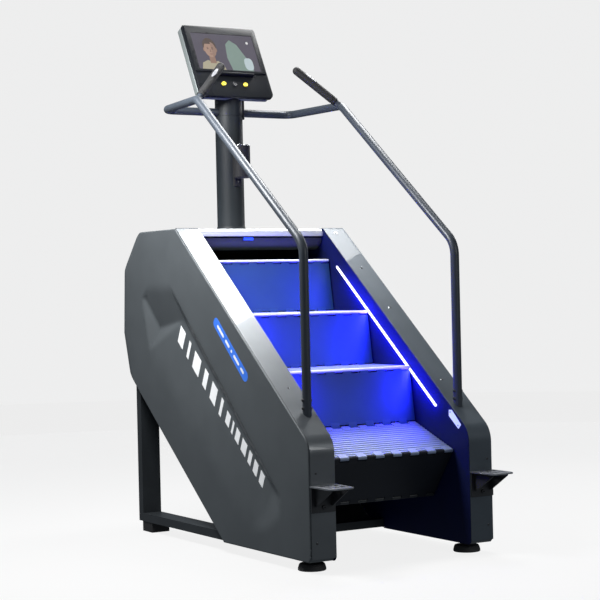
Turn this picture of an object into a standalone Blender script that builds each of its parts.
"""Stair climber: an endless flight of hinged treads and risers between two side housings, with a
console post, two handrails that meet at the post, grips with buttons, and fixed step-up plates.

Metres, +Z up, -Y towards the user, +X to the user's right as seen from the front. Depths are
given from the front face of the housings (0) towards the back, and MID moves them so that the
origin is at the bottom centre of the whole object's box.
"""

import math

import bmesh
import bpy
from mathutils import Matrix, Vector

# ---- driving dimensions -------------------------------------------------------------------

REAR_REACH = 1.4530
PLATE_REACH = 0.130
MID = (REAR_REACH - PLATE_REACH) / 2

HALF_WIDTH = 0.385
INNER_FACE = 0.283
SHEET = 0.003
GAP = 0.0005
STRIP_SHEET = 0.002
STRIP_STEP = STRIP_SHEET + 0.0006

# Side outline of a housing as (depth, height, corner radius), counterclockwise from the front toe.
HOUSING = [
    (0.0, 0.033, 0.020),
    (0.620, 0.033, 0.050),
    (1.410, 0.640, 0.060),
    (1.457, 0.800, 0.120),
    (1.440, 1.060, 0.120),
    (1.300, 1.207, 0.100),
    (0.958, 1.207, 0.020),
    (0.0, 0.442, 0.090),
]

# Flight of stairs.
STAIR_WIDTH = 0.554
FLIGHT_ANGLE = math.radians(36.79)
STEP_PITCH = 0.3455
RETURN_PITCH = 0.386
TREAD_DEPTH = 0.2455
RISER_HEIGHT = 0.2083
LOWEST_HEEL = (0.327, 0.453)
LOWEST_TILT = math.radians(20.5)
STEPS = 8
STEPS_IN_FRONT = 4
TURN_LOW = 0.120
TURN_UP = 0.080
HEEL_FROM_TANGENT = 0.120
UPPER_RUN = 1.160
KNUCKLE_SLOTS = 7
KNUCKLE_R = 0.007
KNUCKLE_CLEAR = 0.0105

# Drive.
CHAIN_LOW_R = 0.046
CHAIN_UP_R = 0.030
CHAIN_X = 0.262
CHAIN_HALF = 0.005
SHAFT_R = 0.0125
BORE_R = 0.0140
BEARING_R = 0.036
PULLEY_X = 0.190
PULLEY_R = 0.026
MOTOR_AT = (0.740, 0.625)
MOTOR_R = 0.062
MOTOR_ARM_R = 0.022
MOTOR_PULLEY_R = 0.020
BELT_HALF = 0.0025
WHEEL_CLEAR = 0.0020

# Base.
RAIL_X = (0.2875, 0.3675)
RAIL_Z = (0.0395, 0.0715)
LEG_Y = (1.330, 1.368)
LEG_TOP = 0.900
CROSS_Y = (0.560, 0.600)
CROSS_HIGH_Z = (0.655, 0.690)
PAD_Y = (1.255, 1.340)
FOOT_AT = (0.328, 0.090)
FOOT_R = 0.049

# Post, rails and console.
POST_Y = 1.208
POST_R = 0.056
POST_TOP = 1.790
RAIL_R = 0.0160
RAIL_FOOT = (0.320, 0.113)
RAIL_ELBOW_Z = 1.115
RAIL_TOP = (0.325, 0.862, 1.692)
RAIL_BACK = (0.290, 1.208, 1.688)
GRIP_TIP = (0.162, 0.955, 1.845)
GRIP_R = 0.0165
GRIP_BUTTON = (0.012, 0.022, 0.008)
GRIP_WELL = (0.0132, 0.0232, 0.014)
CONSOLE_FOOT = (1.120, 1.746)
CONSOLE_TILT = math.radians(27.5)
CONSOLE_W = 0.340
CONSOLE_H = 0.344
CONSOLE_D = 0.046
SCREEN_W = 0.284
SCREEN_H = 0.176
SCREEN_LOW = 0.128
BUTTON_R = 0.0095
BUTTON_DEEP = 0.0045
BUTTON_V = 0.060
BUTTON_XS = {"console_button_left": -0.050, "console_button_middle": 0.0,
             "console_button_right": 0.050}

# Step-up plates and the lamp strips.
PLATE_Z = 0.298
PLATE_SHEET = 0.005
LAMP_FROM = (0.194, 0.522)
LAMP_TO = (0.854, 1.049)


# ---- scene and materials -------------------------------------------------------------------

def clear_scene():
    for obj in list(bpy.data.objects):
        bpy.data.objects.remove(obj, do_unlink=True)


def paint(name, rgb, roughness, metallic=0.0):
    """A Principled material of one colour."""
    mat = bpy.data.materials.new(name)
    mat.use_nodes = True
    shader = mat.node_tree.nodes["Principled BSDF"]
    shader.inputs["Base Color"].default_value = (*rgb, 1.0)
    shader.inputs["Roughness"].default_value = roughness
    shader.inputs["Metallic"].default_value = metallic
    return mat


def node(name, bm, mat, pivot=(0.0, 0.0, 0.0), smooth=40.0):
    """An object from a bmesh drawn in depths from the front face, with its origin at pivot."""
    bmesh.ops.recalc_face_normals(bm, faces=bm.faces)
    bmesh.ops.translate(bm, verts=bm.verts, vec=-Vector(pivot))
    mesh = bpy.data.meshes.new(name)
    bm.to_mesh(mesh)
    bm.free()
    mesh.materials.append(mat)
    mesh.shade_smooth()
    mesh.set_sharp_from_angle(angle=math.radians(smooth))
    obj = bpy.data.objects.new(name, mesh)
    obj.location = (pivot[0], pivot[1] - MID, pivot[2])
    bpy.context.scene.collection.objects.link(obj)
    return obj


def combine(target, tool, operation):
    """Join a tool to a target, or cut it away, and keep the tool as a hidden guide."""
    tool.hide_render = True
    tool.display_type = "WIRE"
    modifier = target.modifiers.new(tool.name, "BOOLEAN")
    modifier.operation = operation
    modifier.object = tool
    modifier.solver = "EXACT"


# ---- outlines in the side plane ------------------------------------------------------------

def inset(corners, amount):
    """The outline moved inwards; corners run counterclockwise."""
    moved = []
    count = len(corners)
    for i, (y, z, radius) in enumerate(corners):
        before = Vector(corners[i - 1][:2])
        here = Vector((y, z))
        after = Vector(corners[(i + 1) % count][:2])
        d_in = (here - before).normalized()
        d_out = (after - here).normalized()
        n_in = Vector((-d_in.y, d_in.x))
        n_out = Vector((-d_out.y, d_out.x))
        shift = (n_in + n_out) * (amount / (1.0 + n_in.dot(n_out)))
        moved.append((y + shift.x, z + shift.y, max(radius - amount, 0.002)))
    return moved


def rounded(corners, step=math.radians(15)):
    """Points of a closed outline whose corners are arcs."""
    points = []
    count = len(corners)
    for i, (y, z, radius) in enumerate(corners):
        here = Vector((y, z))
        to_before = (Vector(corners[i - 1][:2]) - here).normalized()
        to_after = (Vector(corners[(i + 1) % count][:2]) - here).normalized()
        half = math.acos(max(-1.0, min(1.0, to_before.dot(to_after)))) / 2
        turn = math.pi - 2 * half
        centre = here + (to_before + to_after).normalized() * (radius / math.sin(half))
        start = here + to_before * (radius / math.tan(half)) - centre
        pieces = max(1, round(turn / step))
        for k in range(pieces + 1):
            angle = turn * k / pieces
            cos_a, sin_a = math.cos(angle), math.sin(angle)
            points.append(centre + Vector((start.x * cos_a - start.y * sin_a,
                                           start.x * sin_a + start.y * cos_a)))
    return points


def circle(centre, radius, sides):
    """Points of a circle, flat side down, counterclockwise."""
    return [Vector((centre[0] + radius * math.cos(a), centre[1] + radius * math.sin(a)))
            for a in (2 * math.pi * (k + 0.5) / sides for k in range(sides))]


def belt_line(low, r_low, up, r_up, step=math.radians(18)):
    """Closed line round two wheels, counterclockwise, as a belt or a chain lies on them."""
    low, up = Vector(low), Vector(up)
    along = math.atan2(up.y - low.y, up.x - low.x)
    lean = math.asin((r_low - r_up) / (up - low).length)
    points = []
    for centre, radius, start, turn in (
        (low, r_low, along + math.pi / 2 - lean, math.pi + 2 * lean),
        (up, r_up, along - math.pi / 2 + lean, math.pi - 2 * lean),
    ):
        pieces = max(4, round(turn / step))
        for k in range(pieces + 1):
            angle = start + turn * k / pieces
            points.append(centre + radius * Vector((math.cos(angle), math.sin(angle))))
    return points


# ---- solids --------------------------------------------------------------------------------

def prism(bm, outline, x0, x1):
    """A side-plane outline carried from x0 to x1."""
    low = [bm.verts.new((x0, p[0], p[1])) for p in outline]
    high = [bm.verts.new((x1, p[0], p[1])) for p in outline]
    bm.faces.new(low)
    bm.faces.new(high[::-1])
    for i in range(len(outline)):
        j = (i + 1) % len(outline)
        bm.faces.new((low[i], high[i], high[j], low[j]))
    return bm


def box(bm, xs, ys, zs):
    return prism(bm, [(ys[0], zs[0]), (ys[1], zs[0]), (ys[1], zs[1]), (ys[0], zs[1])], *xs)


def band(bm, outer, inner, x0, x1, closed):
    """A strip between two lines of equal length in the side plane, carried from x0 to x1."""
    rings = [[bm.verts.new((x, p[0], p[1])) for x, p in ((x0, a), (x1, a), (x1, b), (x0, b))]
             for a, b in zip(outer, inner)]
    pairs = list(zip(rings, rings[1:]))
    if closed:
        pairs.append((rings[-1], rings[0]))
    else:
        bm.faces.new(rings[0])
        bm.faces.new(rings[-1])
    for one, two in pairs:
        for i in range(4):
            j = (i + 1) % 4
            bm.faces.new((one[i], one[j], two[j], two[i]))
    return bm


def sheet(bm, line, thickness, x0, x1):
    """A bent sheet: an open line thickened to its left."""
    line = [Vector(p) for p in line]
    inner = []
    for i, here in enumerate(line):
        before = line[max(i - 1, 0)]
        after = line[min(i + 1, len(line) - 1)]
        d_in = (here - before).normalized() if i else (after - here).normalized()
        d_out = (after - here).normalized() if i < len(line) - 1 else d_in
        n_in, n_out = Vector((-d_in.y, d_in.x)), Vector((-d_out.y, d_out.x))
        inner.append(here + (n_in + n_out) * (thickness / (1.0 + n_in.dot(n_out))))
    return band(bm, line, inner, x0, x1, closed=False)


def disc(bm, centre, radius, x0, x1, sides=20):
    return prism(bm, circle(centre, radius, sides), x0, x1)


def upright(bm, x, y, z0, z1, r0, r1=None, sides=24):
    """A standing cylinder or cone."""
    bmesh.ops.create_cone(bm, cap_ends=True, segments=sides, radius1=r0,
                          radius2=r0 if r1 is None else r1, depth=z1 - z0,
                          matrix=Matrix.Translation((x, y, (z0 + z1) / 2)))
    return bm


def bend_points(corners, step=math.radians(15)):
    """A line in space through corners (x, y, z, radius) whose inner corners are arcs."""
    points = [Vector(corners[0][:3])]
    for before, here, after in zip(corners, corners[1:], corners[2:]):
        at = Vector(here[:3])
        back = (Vector(before[:3]) - at).normalized()
        on = (Vector(after[:3]) - at).normalized()
        half = back.angle(on) / 2
        centre = at + (back + on).normalized() * (here[3] / math.sin(half))
        start = at + back * (here[3] / math.tan(half)) - centre
        turn = math.pi - 2 * half
        axis = start.cross(on)
        pieces = max(2, round(turn / step))
        for k in range(pieces + 1):
            points.append(centre + Matrix.Rotation(turn * k / pieces, 3, axis) @ start)
    points.append(Vector(corners[-1][:3]))
    return points


def tube(bm, points, radii, sides=10, first_normal=None):
    """A round bar along points, cut square at its ends or, at the start, along first_normal."""
    side = None
    rings = []
    for i, at in enumerate(points):
        ahead = (points[min(i + 1, len(points) - 1)] - at).normalized()
        behind = (at - points[max(i - 1, 0)]).normalized()
        along = (ahead + behind).normalized()
        if side is None:
            side = along.orthogonal().normalized()
        side = (side - along * side.dot(along)).normalized()
        other = along.cross(side)
        ring = []
        for k in range(sides):
            angle = 2 * math.pi * k / sides
            offset = radii[i] * (side * math.cos(angle) + other * math.sin(angle))
            if i == 0 and first_normal is not None:
                offset -= along * (offset.dot(first_normal) / along.dot(first_normal))
            ring.append(bm.verts.new(at + offset))
        rings.append(ring)
    bm.faces.new(rings[0])
    bm.faces.new(rings[-1])
    for one, two in zip(rings, rings[1:]):
        for k in range(sides):
            j = (k + 1) % sides
            bm.faces.new((one[k], one[j], two[j], two[k]))
    return bm


def hinged_plate(length, low, high, first_slot):
    """A plate between two hinge axes, at y = 0 and y = length, with knuckles in every other slot."""
    bm = bmesh.new()
    slot = STAIR_WIDTH / KNUCKLE_SLOTS
    xs = [slot * i - STAIR_WIDTH / 2 for i in range(KNUCKLE_SLOTS + 1)]
    y0, y1 = KNUCKLE_CLEAR, length - KNUCKLE_CLEAR
    rows = [[bm.verts.new((x, y, z)) for y, z in ((y0, low), (y1, low), (y1, high), (y0, high))]
            for x in xs]
    bm.faces.new(rows[0])
    bm.faces.new(rows[-1])
    ends = []
    for i, (one, two) in enumerate(zip(rows, rows[1:])):
        for k in range(4):
            j = (k + 1) % 4
            face = bm.faces.new((one[k], one[j], two[j], two[k]))
            if k in (1, 3) and i % 2 == first_slot:
                ends.append((face, xs[i], xs[i + 1], 0.0 if k == 3 else length))
    for face, x0, x1, axis_y in ends:
        outwards = -1.0 if axis_y == 0.0 else 1.0
        for reach, bottom, top in (
            (-0.58, min(low, -0.82 * KNUCKLE_R), max(high, 0.82 * KNUCKLE_R)),
            (0.58, -0.82 * KNUCKLE_R, 0.82 * KNUCKLE_R),
            (1.0, -0.42 * KNUCKLE_R, 0.42 * KNUCKLE_R),
        ):
            made = bmesh.ops.extrude_discrete_faces(bm, faces=[face])
            face = made["faces"][0]
            middle_z = sum(v.co.z for v in face.verts) / 4
            middle_x = (x0 + x1) / 2
            for v in face.verts:
                side = 1.0 if v.co.x > middle_x else -1.0
                v.co = (middle_x + side * ((x1 - x0) / 2 - GAP),
                        axis_y + outwards * reach * KNUCKLE_R,
                        top if v.co.z > middle_z else bottom)
    bmesh.ops.recalc_face_normals(bm, faces=bm.faces)
    return bm


# ---- the flight's geometry -----------------------------------------------------------------

def meet(one, r_one, two, r_two, left):
    """Where two circles in the side plane cross, on the left or right of the line one to two."""
    one, two = Vector(one), Vector(two)
    apart = (two - one).length
    along = (r_one ** 2 - r_two ** 2 + apart ** 2) / (2 * apart)
    across = math.sqrt(r_one ** 2 - along ** 2)
    d = (two - one) / apart
    n = Vector((-d.y, d.x)) if left else Vector((d.y, -d.x))
    return one + d * along + n * across


UP_FLIGHT = Vector((math.cos(FLIGHT_ANGLE), math.sin(FLIGHT_ANGLE)))
OFF_FLIGHT = Vector((-UP_FLIGHT.y, UP_FLIGHT.x))
TANGENT_LOW = Vector(LOWEST_HEEL) - UP_FLIGHT * HEEL_FROM_TANGENT
CENTRE_LOW = TANGENT_LOW - OFF_FLIGHT * TURN_LOW
CENTRE_UP = TANGENT_LOW + UP_FLIGHT * UPPER_RUN - OFF_FLIGHT * TURN_UP


def on_path(distance):
    """A point of the heels' endless path, at a distance up the flight from TANGENT_LOW."""
    between = CENTRE_UP - CENTRE_LOW
    straight = math.sqrt(between.length ** 2 - (TURN_LOW - TURN_UP) ** 2)
    lean = math.asin((TURN_LOW - TURN_UP) / between.length)
    arc_up = TURN_UP * (math.pi - 2 * lean)
    start = math.atan2(OFF_FLIGHT.y, OFF_FLIGHT.x)
    if distance <= UPPER_RUN:
        return TANGENT_LOW + UP_FLIGHT * distance
    if distance <= UPPER_RUN + arc_up:
        angle = start - (distance - UPPER_RUN) / TURN_UP
        return CENTRE_UP + TURN_UP * Vector((math.cos(angle), math.sin(angle)))
    angle = start - arc_up / TURN_UP
    radial = Vector((math.cos(angle), math.sin(angle)))
    end_up = CENTRE_UP + TURN_UP * radial
    end_low = CENTRE_LOW + TURN_LOW * radial
    back = distance - UPPER_RUN - arc_up
    return end_up + (end_low - end_up) * (back / straight)


def flight_points():
    """Heel and nose axes of each step, from the lowest visible one up and round the back."""
    first = Vector(LOWEST_HEEL)
    nose_0 = first - TREAD_DEPTH * Vector((math.cos(LOWEST_TILT), math.sin(LOWEST_TILT)))
    last_heel = meet(nose_0, RISER_HEIGHT, CENTRE_LOW, TURN_LOW, left=False)
    heels = [on_path(HEEL_FROM_TANGENT + STEP_PITCH * k) for k in range(STEPS_IN_FRONT)]
    return_start = HEEL_FROM_TANGENT + STEP_PITCH * (STEPS_IN_FRONT - 1)
    for k in range(1, STEPS - STEPS_IN_FRONT):
        heels.append(on_path(return_start + RETURN_PITCH * k))
    heels.append(last_heel)
    noses = [nose_0]
    for below, above in zip(heels, heels[1:]):
        noses.append(meet(below, RISER_HEIGHT, above, TREAD_DEPTH, left=True))
    return heels, noses


# ---- sub-parts -----------------------------------------------------------------------------

def make_flight(mats):
    """Eight treads and eight risers, hinged nose to heel."""
    heels, noses = flight_points()
    tread = hinged_plate(TREAD_DEPTH, -0.003, KNUCKLE_R, first_slot=0)
    bmesh.ops.translate(tread, verts=tread.verts, vec=(0.0, -TREAD_DEPTH, 0.0))
    riser = hinged_plate(RISER_HEIGHT, -0.004, 0.004, first_slot=1)
    meshes = {}
    for kind, bm, mat in (("tread", tread, mats["tread"]), ("riser", riser, mats["riser"])):
        meshes[kind] = bpy.data.meshes.new(kind)
        bm.to_mesh(meshes[kind])
        bm.free()
        meshes[kind].materials.append(mat)
    pivots = {"tread_5": noses[4], "tread_8": noses[7], "riser_5": CENTRE_UP}
    for k in range(STEPS):
        run = heels[k] - noses[k]
        drop = heels[k - 1] - noses[k]
        for kind, at, along in (("tread", heels[k], run), ("riser", noses[k], drop)):
            obj = bpy.data.objects.new(f"{kind}_{k + 1}", meshes[kind])
            obj.location = (0.0, at.x - MID, at.y)
            obj.rotation_euler.x = math.atan2(along.y, along.x)
            bpy.context.scene.collection.objects.link(obj)
            if obj.name in pivots:
                hang_on(obj, pivots[obj.name])


def hang_on(obj, axis):
    """Parent an object to an empty on its joint's axis, when its own origin is elsewhere."""
    pivot = bpy.data.objects.new(f"{obj.name}_axis", None)
    pivot.location = (0.0, axis.x - MID, axis.y)
    bpy.context.scene.collection.objects.link(pivot)
    obj.parent = pivot
    obj.location -= pivot.location


def make_shaft(name, centre, wheel_r, mats, pulley):
    """A shaft with its two chain sprockets, and a belt pulley on the upper one."""
    bm = disc(bmesh.new(), centre, SHAFT_R, -0.312, 0.312, 16)
    shaft = node(name, bm, mats["steel"], pivot=(0.0, *centre))
    for side, word in ((-1, "left"), (1, "right")):
        bm = disc(bmesh.new(), centre, wheel_r, side * CHAIN_X - 0.005, side * CHAIN_X + 0.005, 24)
        combine(shaft, node(f"{name}_wheel_{word}", bm, mats["steel"], (0.0, *centre)), "UNION")
    if pulley:
        bm = disc(bmesh.new(), centre, PULLEY_R, PULLEY_X - 0.012, PULLEY_X + 0.012, 24)
        combine(shaft, node(f"{name}_pulley", bm, mats["steel"], (0.0, *centre)), "UNION")


def make_drive(mats):
    make_shaft("lower_shaft", CENTRE_LOW, CHAIN_LOW_R - CHAIN_HALF - WHEEL_CLEAR, mats, False)
    make_shaft("upper_shaft", CENTRE_UP, CHAIN_UP_R - CHAIN_HALF - WHEEL_CLEAR, mats, True)
    for side, word in ((-1, "left"), (1, "right")):
        lines = [belt_line(CENTRE_LOW, CHAIN_LOW_R + d, CENTRE_UP, CHAIN_UP_R + d)
                 for d in (CHAIN_HALF, -CHAIN_HALF)]
        bm = band(bmesh.new(), *lines, side * CHAIN_X - 0.004, side * CHAIN_X + 0.004, True)
        node(f"{word}_step_chain", bm, mats["steel"])
        for centre, level in ((CENTRE_LOW, "lower"), (CENTRE_UP, "upper")):
            x0 = side * (INNER_FACE + SHEET + GAP)
            bm = band(bmesh.new(), circle(centre, BEARING_R, 16), circle(centre, BORE_R, 16),
                      x0, x0 + side * 0.022, True)
            node(f"{level}_bearing_{word}", bm, mats["steel"])
    bm = disc(bmesh.new(), MOTOR_AT, MOTOR_R, -0.130, 0.150, 24)
    motor = node("motor", bm, mats["motor"])
    arm = disc(bmesh.new(), MOTOR_AT, MOTOR_ARM_R, -INNER_FACE + GAP, -0.120, 16)
    combine(motor, node("motor_arm", arm, mats["motor"]), "UNION")
    bm = disc(bmesh.new(), MOTOR_AT, MOTOR_PULLEY_R, PULLEY_X - 0.012, PULLEY_X + 0.012, 20)
    rotor = node("motor_pulley", bm, mats["steel"], pivot=(0.0, *MOTOR_AT))
    bm = disc(bmesh.new(), MOTOR_AT, 0.010, 0.1505, PULLEY_X, 12)
    combine(rotor, node("motor_spindle", bm, mats["steel"], (0.0, *MOTOR_AT)), "UNION")
    lines = [belt_line(MOTOR_AT, MOTOR_PULLEY_R + WHEEL_CLEAR + d, CENTRE_UP,
                       PULLEY_R + WHEEL_CLEAR + d)
             for d in (2 * BELT_HALF, 0.0)]
    node("drive_belt", band(bmesh.new(), *lines, PULLEY_X - 0.010, PULLEY_X + 0.010, True),
         mats["rubber"])


def make_base(mats):
    """One welded frame, two rear pads and two front feet."""
    frame = None
    for side, word in ((-1, "left"), (1, "right")):
        xs = (side * RAIL_X[0], side * RAIL_X[1])
        rail_end = LEG_Y[1]
        outline = [(0.020, RAIL_Z[0]), (rail_end, RAIL_Z[0]), (rail_end, LEG_TOP),
                   (LEG_Y[0], LEG_TOP), (LEG_Y[0], RAIL_Z[1]), (0.020, RAIL_Z[1])]
        piece = node("base_frame" if frame is None else "base_right",
                     prism(bmesh.new(), outline, *xs), mats["frame"])
        if frame is None:
            frame = piece
        else:
            combine(frame, piece, "UNION")
        bm = box(bmesh.new(), (side * (RAIL_X[0] + 0.002), side * (RAIL_X[1] - 0.002)), PAD_Y,
                 (0.0, RAIL_Z[0] - GAP))
        node(f"{word}_rear_pad", bm, mats["rubber"])
        bm = upright(bmesh.new(), side * FOOT_AT[0], FOOT_AT[1], 0.0, 0.024, FOOT_R,
                     0.044, sides=24)
        foot = node(f"{word}_front_foot", bm, mats["rubber"])
        bm = upright(bmesh.new(), side * FOOT_AT[0], FOOT_AT[1], 0.020, RAIL_Z[0] - GAP, 0.009,
                     sides=12)
        combine(foot, node(f"{word}_foot_stud", bm, mats["steel"]), "UNION")
    reach = (RAIL_X[0] + RAIL_X[1]) / 2
    for name, ys, zs in (("cross_low", CROSS_Y, RAIL_Z), ("cross_high", LEG_Y, CROSS_HIGH_Z)):
        bm = box(bmesh.new(), (-reach, reach), (ys[0] + 0.001, ys[1] - 0.001),
                 (zs[0] + 0.001, zs[1] - 0.001))
        combine(frame, node(name, bm, mats["frame"]), "UNION")


def cut_for_frame(target, side, word, mats):
    """Clear the base rail, the rear leg and the foot stud out of a side cover or panel."""
    xs = (side * (RAIL_X[0] - 0.030), side * (RAIL_X[1] + 0.001))
    outline = [(0.590, RAIL_Z[0] - GAP), (LEG_Y[1] + 0.001, RAIL_Z[0] - GAP),
               (LEG_Y[1] + 0.001, LEG_TOP + 0.001), (LEG_Y[0] - 0.001, LEG_TOP + 0.001),
               (LEG_Y[0] - 0.001, RAIL_Z[1] + 0.001), (0.590, RAIL_Z[1] + 0.001)]
    combine(target, node(f"{word}_frame_slot", prism(bmesh.new(), outline, *xs), mats["frame"]),
            "DIFFERENCE")
    bm = upright(bmesh.new(), side * FOOT_AT[0], FOOT_AT[1], 0.0, 0.060, 0.011, sides=12)
    combine(target, node(f"{word}_stud_hole", bm, mats["frame"]), "DIFFERENCE")


def make_sides(mats):
    """For each side: an inner panel, an outer cover, a front strip and a lamp strip."""
    for side, word in ((-1, "left"), (1, "right")):
        outline = rounded(inset(HOUSING, STRIP_STEP))
        bm = prism(bmesh.new(), outline, side * INNER_FACE, side * (INNER_FACE + SHEET))
        panel = node(f"{word}_inner_panel", bm, mats["panel"])
        for centre, level in ((CENTRE_LOW, "lower"), (CENTRE_UP, "upper")):
            bm = disc(bmesh.new(), centre, 0.018, side * 0.270, side * 0.300, 16)
            combine(panel, node(f"{word}_{level}_hole", bm, mats["panel"]), "DIFFERENCE")
        bm = box(bmesh.new(), (side * 0.270, side * 0.300), (CROSS_Y[0] - 0.001, CROSS_Y[1] + 0.001),
                 (0.020, RAIL_Z[1] + 0.001))
        combine(panel, node(f"{word}_cross_slot", bm, mats["panel"]), "DIFFERENCE")
        bm = box(bmesh.new(), (side * 0.270, side * 0.300), (LEG_Y[0] - 0.001, LEG_Y[1] + 0.001),
                 (CROSS_HIGH_Z[0] - 0.001, CROSS_HIGH_Z[1] + 0.001))
        combine(panel, node(f"{word}_cross_hole", bm, mats["panel"]), "DIFFERENCE")

        x_in, x_out = side * (INNER_FACE + SHEET + 0.003), side * HALF_WIDTH
        cover = node(f"{word}_outer_cover", prism(bmesh.new(), outline, x_in, x_out),
                     mats["cover"])
        hollow = rounded(inset(HOUSING, STRIP_STEP + SHEET))
        bm = prism(bmesh.new(), hollow, x_in - side * 0.010, x_out - side * SHEET)
        combine(cover, node(f"{word}_cover_hollow", bm, mats["cover"]), "DIFFERENCE")
        cut_for_frame(cover, side, word, mats)

        line = rounded(HOUSING)
        top = max(i for i, p in enumerate(line) if p.y > 1.2065)
        front = line[top:] + line[:2]
        bm = sheet(bmesh.new(), front, STRIP_SHEET, side * (INNER_FACE + GAP),
                   side * (HALF_WIDTH - 0.004))
        node(f"{word}_front_strip", bm, mats["strip"])

        low, high = Vector(LAMP_FROM), Vector(LAMP_TO)
        across = Vector((-(high - low).y, (high - low).x)).normalized() * 0.003
        outline = [low - across, high - across, high + across, low + across]
        bm = prism(bmesh.new(), outline, side * (INNER_FACE - GAP),
                   side * (INNER_FACE - GAP - 0.003))
        node(f"{word}_lamp_strip", bm, mats["lamp"])


def make_covers(mats):
    """The sheets that close the machine between its sides."""
    half = INNER_FACE - GAP
    line = rounded(inset(HOUSING, STRIP_STEP))
    top_z = 1.207 - STRIP_STEP
    lip = [(0.955, 1.172), (0.955, top_z), (POST_Y + 0.092, top_z)]
    cover = node("top_cover", sheet(bmesh.new(), lip[::-1], SHEET, -half, half), mats["strip"])
    bm = upright(bmesh.new(), 0.0, POST_Y, 1.150, 1.250, POST_R + 0.0015, sides=24)
    combine(cover, node("post_hole", bm, mats["strip"]), "DIFFERENCE")
    shroud = [(0.965, 1.169), (0.972, 1.150), (0.992, 1.130), (1.020, 1.121)]
    node("top_shroud", sheet(bmesh.new(), shroud, SHEET, -half, half), mats["panel"])
    rear = [p for p in line if p.x > 0.60 and p.y < 0.95 * p.x and p.y < top_z - 0.0005]
    node("rear_cover", sheet(bmesh.new(), rear, SHEET, -half, half), mats["cover"])


def make_post(mats):
    """The console post with its cross beam, and the bottle holder on its front."""
    bm = upright(bmesh.new(), 0.0, POST_Y, 1.145, POST_TOP, POST_R, sides=24)
    post = node("console_post", bm, mats["post"])
    beam = box(bmesh.new(), (-0.281, 0.281), (POST_Y - 0.040, POST_Y + 0.040), (1.132, 1.170))
    combine(post, node("post_beam", beam, mats["post"]), "UNION")
    bm = upright(bmesh.new(), 0.0, POST_Y, 1.2085, 1.226, POST_R + 0.004, sides=24)
    combine(post, node("post_ring", bm, mats["post"]), "UNION")

    ring_y = POST_Y - POST_R - 0.0415
    bm = upright(bmesh.new(), 0.0, ring_y, 1.415, 1.548, 0.036, sides=16)
    holder = node("bottle_holder", bm, mats["frame"])
    bm = upright(bmesh.new(), 0.0, ring_y, 1.419, 1.580, 0.0335, sides=16)
    combine(holder, node("bottle_room", bm, mats["frame"]), "DIFFERENCE")
    bm = box(bmesh.new(), (-0.012, 0.012), (ring_y + 0.0345, POST_Y - POST_R - GAP),
             (1.425, 1.500))
    combine(holder, node("holder_foot", bm, mats["frame"]), "UNION")


def make_rails(mats):
    """Each handrail runs from the front strip up, back along the flight and in to the post."""
    slope = math.atan2(1.207 - 0.442, 0.958)
    normal = Vector((0.0, -math.sin(slope), math.cos(slope)))
    foot_z = 0.442 + math.tan(slope) * RAIL_FOOT[1] + 0.0006
    for side, word in ((-1, "left"), (1, "right")):
        corners = [
            (side * RAIL_FOOT[0], RAIL_FOOT[1], foot_z),
            (side * RAIL_FOOT[0], RAIL_FOOT[1], RAIL_ELBOW_Z, 0.090),
            (side * RAIL_TOP[0], RAIL_TOP[1], RAIL_TOP[2], 0.060),
            (side * RAIL_BACK[0], RAIL_BACK[1], RAIL_BACK[2], 0.045),
            (side * (POST_R + 0.001), POST_Y, RAIL_BACK[2]),
        ]
        points = bend_points(corners)
        bm = tube(bmesh.new(), points, [RAIL_R] * len(points), first_normal=normal)
        node(f"{word}_handrail", bm, mats["post"])

        base = Vector((side * RAIL_TOP[0], RAIL_TOP[1], RAIL_TOP[2] - 0.004))
        tip = Vector((side * GRIP_TIP[0], GRIP_TIP[1], GRIP_TIP[2]))
        along = (tip - base).normalized()
        start = base + along * 0.030
        length = (tip - start).length
        stations = [(0.0, 0.90), (0.02, 1.0), (0.90, 1.0), (0.97, 0.80), (1.0, 0.35)]
        line = [start + along * length * t for t, _ in stations]
        bm = tube(bmesh.new(), line, [GRIP_R * k for _, k in stations], sides=12)
        grip = node(f"{word}_grip", bm, mats["grip"])

        face = Vector((0.0, -0.60, 0.80))
        face = (face - along * face.dot(along)).normalized()
        across = along.cross(face)
        turn = Matrix((across, along, face)).transposed().to_4x4()
        for place, level in ((0.56, "lower"), (0.70, "upper")):
            at = start + along * length * place + face * (GRIP_R - 0.002)
            spot = Matrix.Translation(at) @ turn
            name = f"{word}_grip_button_{level}"
            node(name, block(spot, GRIP_BUTTON), mats["button_grey"], pivot=at)
            well = node(f"{name}_well", block(spot, GRIP_WELL), mats["grip"])
            combine(grip, well, "DIFFERENCE")


def block(spot, sizes):
    """A block of these sizes, centred on a placed and turned spot."""
    bm = bmesh.new()
    bmesh.ops.create_cube(bm, size=1.0, matrix=spot @ Matrix.Diagonal((*sizes, 1.0)))
    return bm


def console_box(bm, xs, vs, depths):
    """A block in the console's own plane: x, up the face from its foot, and out of the face."""
    return console_turn(box(bm, xs, vs, depths))


def console_turn(bm):
    """Lay what is drawn in the console's plane (x, v, out) at the console's place."""
    turn = Matrix.Rotation(math.pi / 2 - CONSOLE_TILT, 4, "X")
    foot = Matrix.Translation((0.0, *CONSOLE_FOOT))
    bmesh.ops.transform(bm, verts=bm.verts, matrix=foot @ turn)
    return bm


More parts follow.
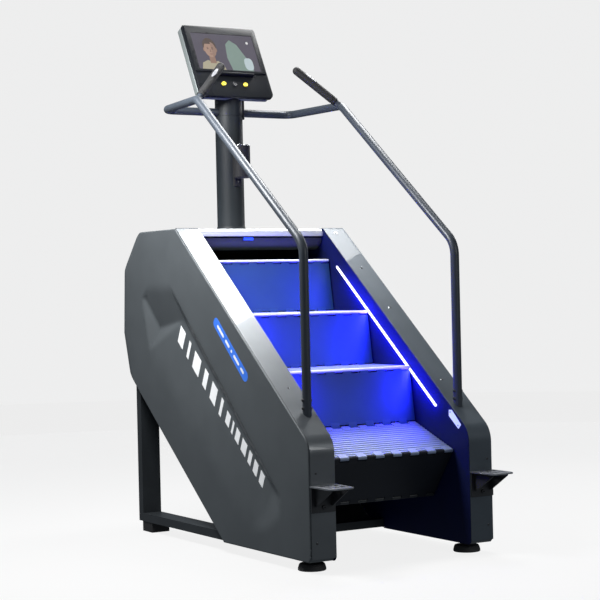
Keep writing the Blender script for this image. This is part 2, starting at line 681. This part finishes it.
def make_console(mats):
    """The housing with its screen and three buttons."""
    half = CONSOLE_W / 2
    corners = [(-half, 0.0, 0.020), (half, 0.0, 0.020), (half, CONSOLE_H, 0.008),
               (-half, CONSOLE_H, 0.008)]
    outline = rounded(corners, step=math.radians(30))
    bm = bmesh.new()
    low = [bm.verts.new((p.x, p.y, -CONSOLE_D)) for p in outline]
    high = [bm.verts.new((p.x, p.y, 0.0)) for p in outline]
    bm.faces.new(low)
    bm.faces.new(high)
    for i in range(len(outline)):
        j = (i + 1) % len(outline)
        bm.faces.new((low[i], low[j], high[j], high[i]))
    housing = node("console_housing", console_turn(bm), mats["console"])

    screen_v = (SCREEN_LOW, SCREEN_LOW + SCREEN_H)
    grow = GAP
    bm = console_box(bmesh.new(), (-SCREEN_W / 2 - grow, SCREEN_W / 2 + grow),
                     (screen_v[0] - grow, screen_v[1] + grow), (-0.0035, 0.010))
    combine(housing, node("screen_pocket", bm, mats["console"]), "DIFFERENCE")
    bm = console_box(bmesh.new(), (-SCREEN_W / 2, SCREEN_W / 2), screen_v, (-0.0030, -0.0004))
    node("console_screen", bm, mats["screen"])
    for name, x in BUTTON_XS.items():
        bm = bmesh.new()
        upright(bm, x, BUTTON_V, -BUTTON_DEEP, 0.0020, BUTTON_R, sides=16)
        pivot = console_point(x, BUTTON_V, 0.0)
        colour = "button_grey" if x == 0.0 else "button_yellow"
        node(name, console_turn(bm), mats[colour], pivot=pivot)
        bm = bmesh.new()
        upright(bm, x, BUTTON_V, -0.0100, 0.0100, BUTTON_R + 0.0007, sides=16)
        combine(housing, node(f"{name}_well", console_turn(bm), mats["console"]), "DIFFERENCE")
    bm = upright(bmesh.new(), 0.0, POST_Y, 1.500, POST_TOP + 0.0006, POST_R + 0.001, sides=24)
    combine(housing, node("post_socket", bm, mats["console"]), "DIFFERENCE")


def console_point(x, v, out):
    tilt = CONSOLE_TILT
    return (x, CONSOLE_FOOT[0] + v * math.sin(tilt) - out * math.cos(tilt),
            CONSOLE_FOOT[1] + v * math.cos(tilt) + out * math.sin(tilt))


def make_step_plates(mats):
    """Slotted step-up plates on gusseted brackets, bolted to the front of each housing."""
    back = -GAP
    for side, word in ((-1, "left"), (1, "right")):
        xs = (side * INNER_FACE, side * (HALF_WIDTH + 0.001))
        outline = [(back, PLATE_Z), (back, 0.206), (back - 0.004, 0.206),
                   (-0.012, 0.225), (-PLATE_REACH + 0.010, PLATE_Z - PLATE_SHEET),
                   (-PLATE_REACH, PLATE_Z - PLATE_SHEET), (-PLATE_REACH, PLATE_Z)]
        plate = node(f"{word}_step_plate", prism(bmesh.new(), outline, *xs), mats["plate"])
        room = [(back - 0.005, PLATE_Z - PLATE_SHEET), (back - 0.005, 0.200),
                (-PLATE_REACH - 0.010, 0.200), (-PLATE_REACH - 0.010, PLATE_Z - PLATE_SHEET)]
        middle = (INNER_FACE + HALF_WIDTH) / 2
        for k, (x0, x1) in enumerate(((INNER_FACE - 0.010, middle - 0.002),
                                      (middle + 0.002, HALF_WIDTH + 0.010))):
            bm = prism(bmesh.new(), room, side * x0, side * x1)
            combine(plate, node(f"{word}_plate_room_{k}", bm, mats["plate"]), "DIFFERENCE")


def build():
    clear_scene()
    mats = {
        "tread": paint("tread", (0.07, 0.08, 0.12), 0.45, 0.3),
        "riser": paint("riser", (0.03, 0.04, 0.08), 0.4, 0.3),
        "steel": paint("steel", (0.45, 0.45, 0.46), 0.35, 1.0),
        "motor": paint("motor", (0.10, 0.12, 0.14), 0.5, 0.4),
        "rubber": paint("rubber", (0.02, 0.02, 0.02), 0.8),
        "frame": paint("frame", (0.045, 0.05, 0.055), 0.45, 0.2),
        "panel": paint("panel", (0.012, 0.015, 0.022), 0.4),
        "cover": paint("cover", (0.06, 0.07, 0.075), 0.42),
        "strip": paint("strip", (0.20, 0.21, 0.22), 0.35, 0.6),
        "lamp": paint("lamp", (0.5, 0.6, 1.0), 0.3),
        "post": paint("post", (0.06, 0.062, 0.065), 0.3, 0.6),
        "grip": paint("grip", (0.015, 0.015, 0.016), 0.5),
        "console": paint("console", (0.012, 0.012, 0.013), 0.3),
        "screen": paint("screen", (0.10, 0.09, 0.11), 0.1),
        "button_grey": paint("button_grey", (0.15, 0.15, 0.16), 0.5),
        "button_yellow": paint("button_yellow", (0.75, 0.62, 0.05), 0.4),
        "plate": paint("plate", (0.10, 0.10, 0.11), 0.4, 0.4),
    }
    make_flight(mats)
    make_drive(mats)
    make_base(mats)
    make_sides(mats)
    make_covers(mats)
    make_post(mats)
    make_rails(mats)
    make_console(mats)
    make_step_plates(mats)


build()
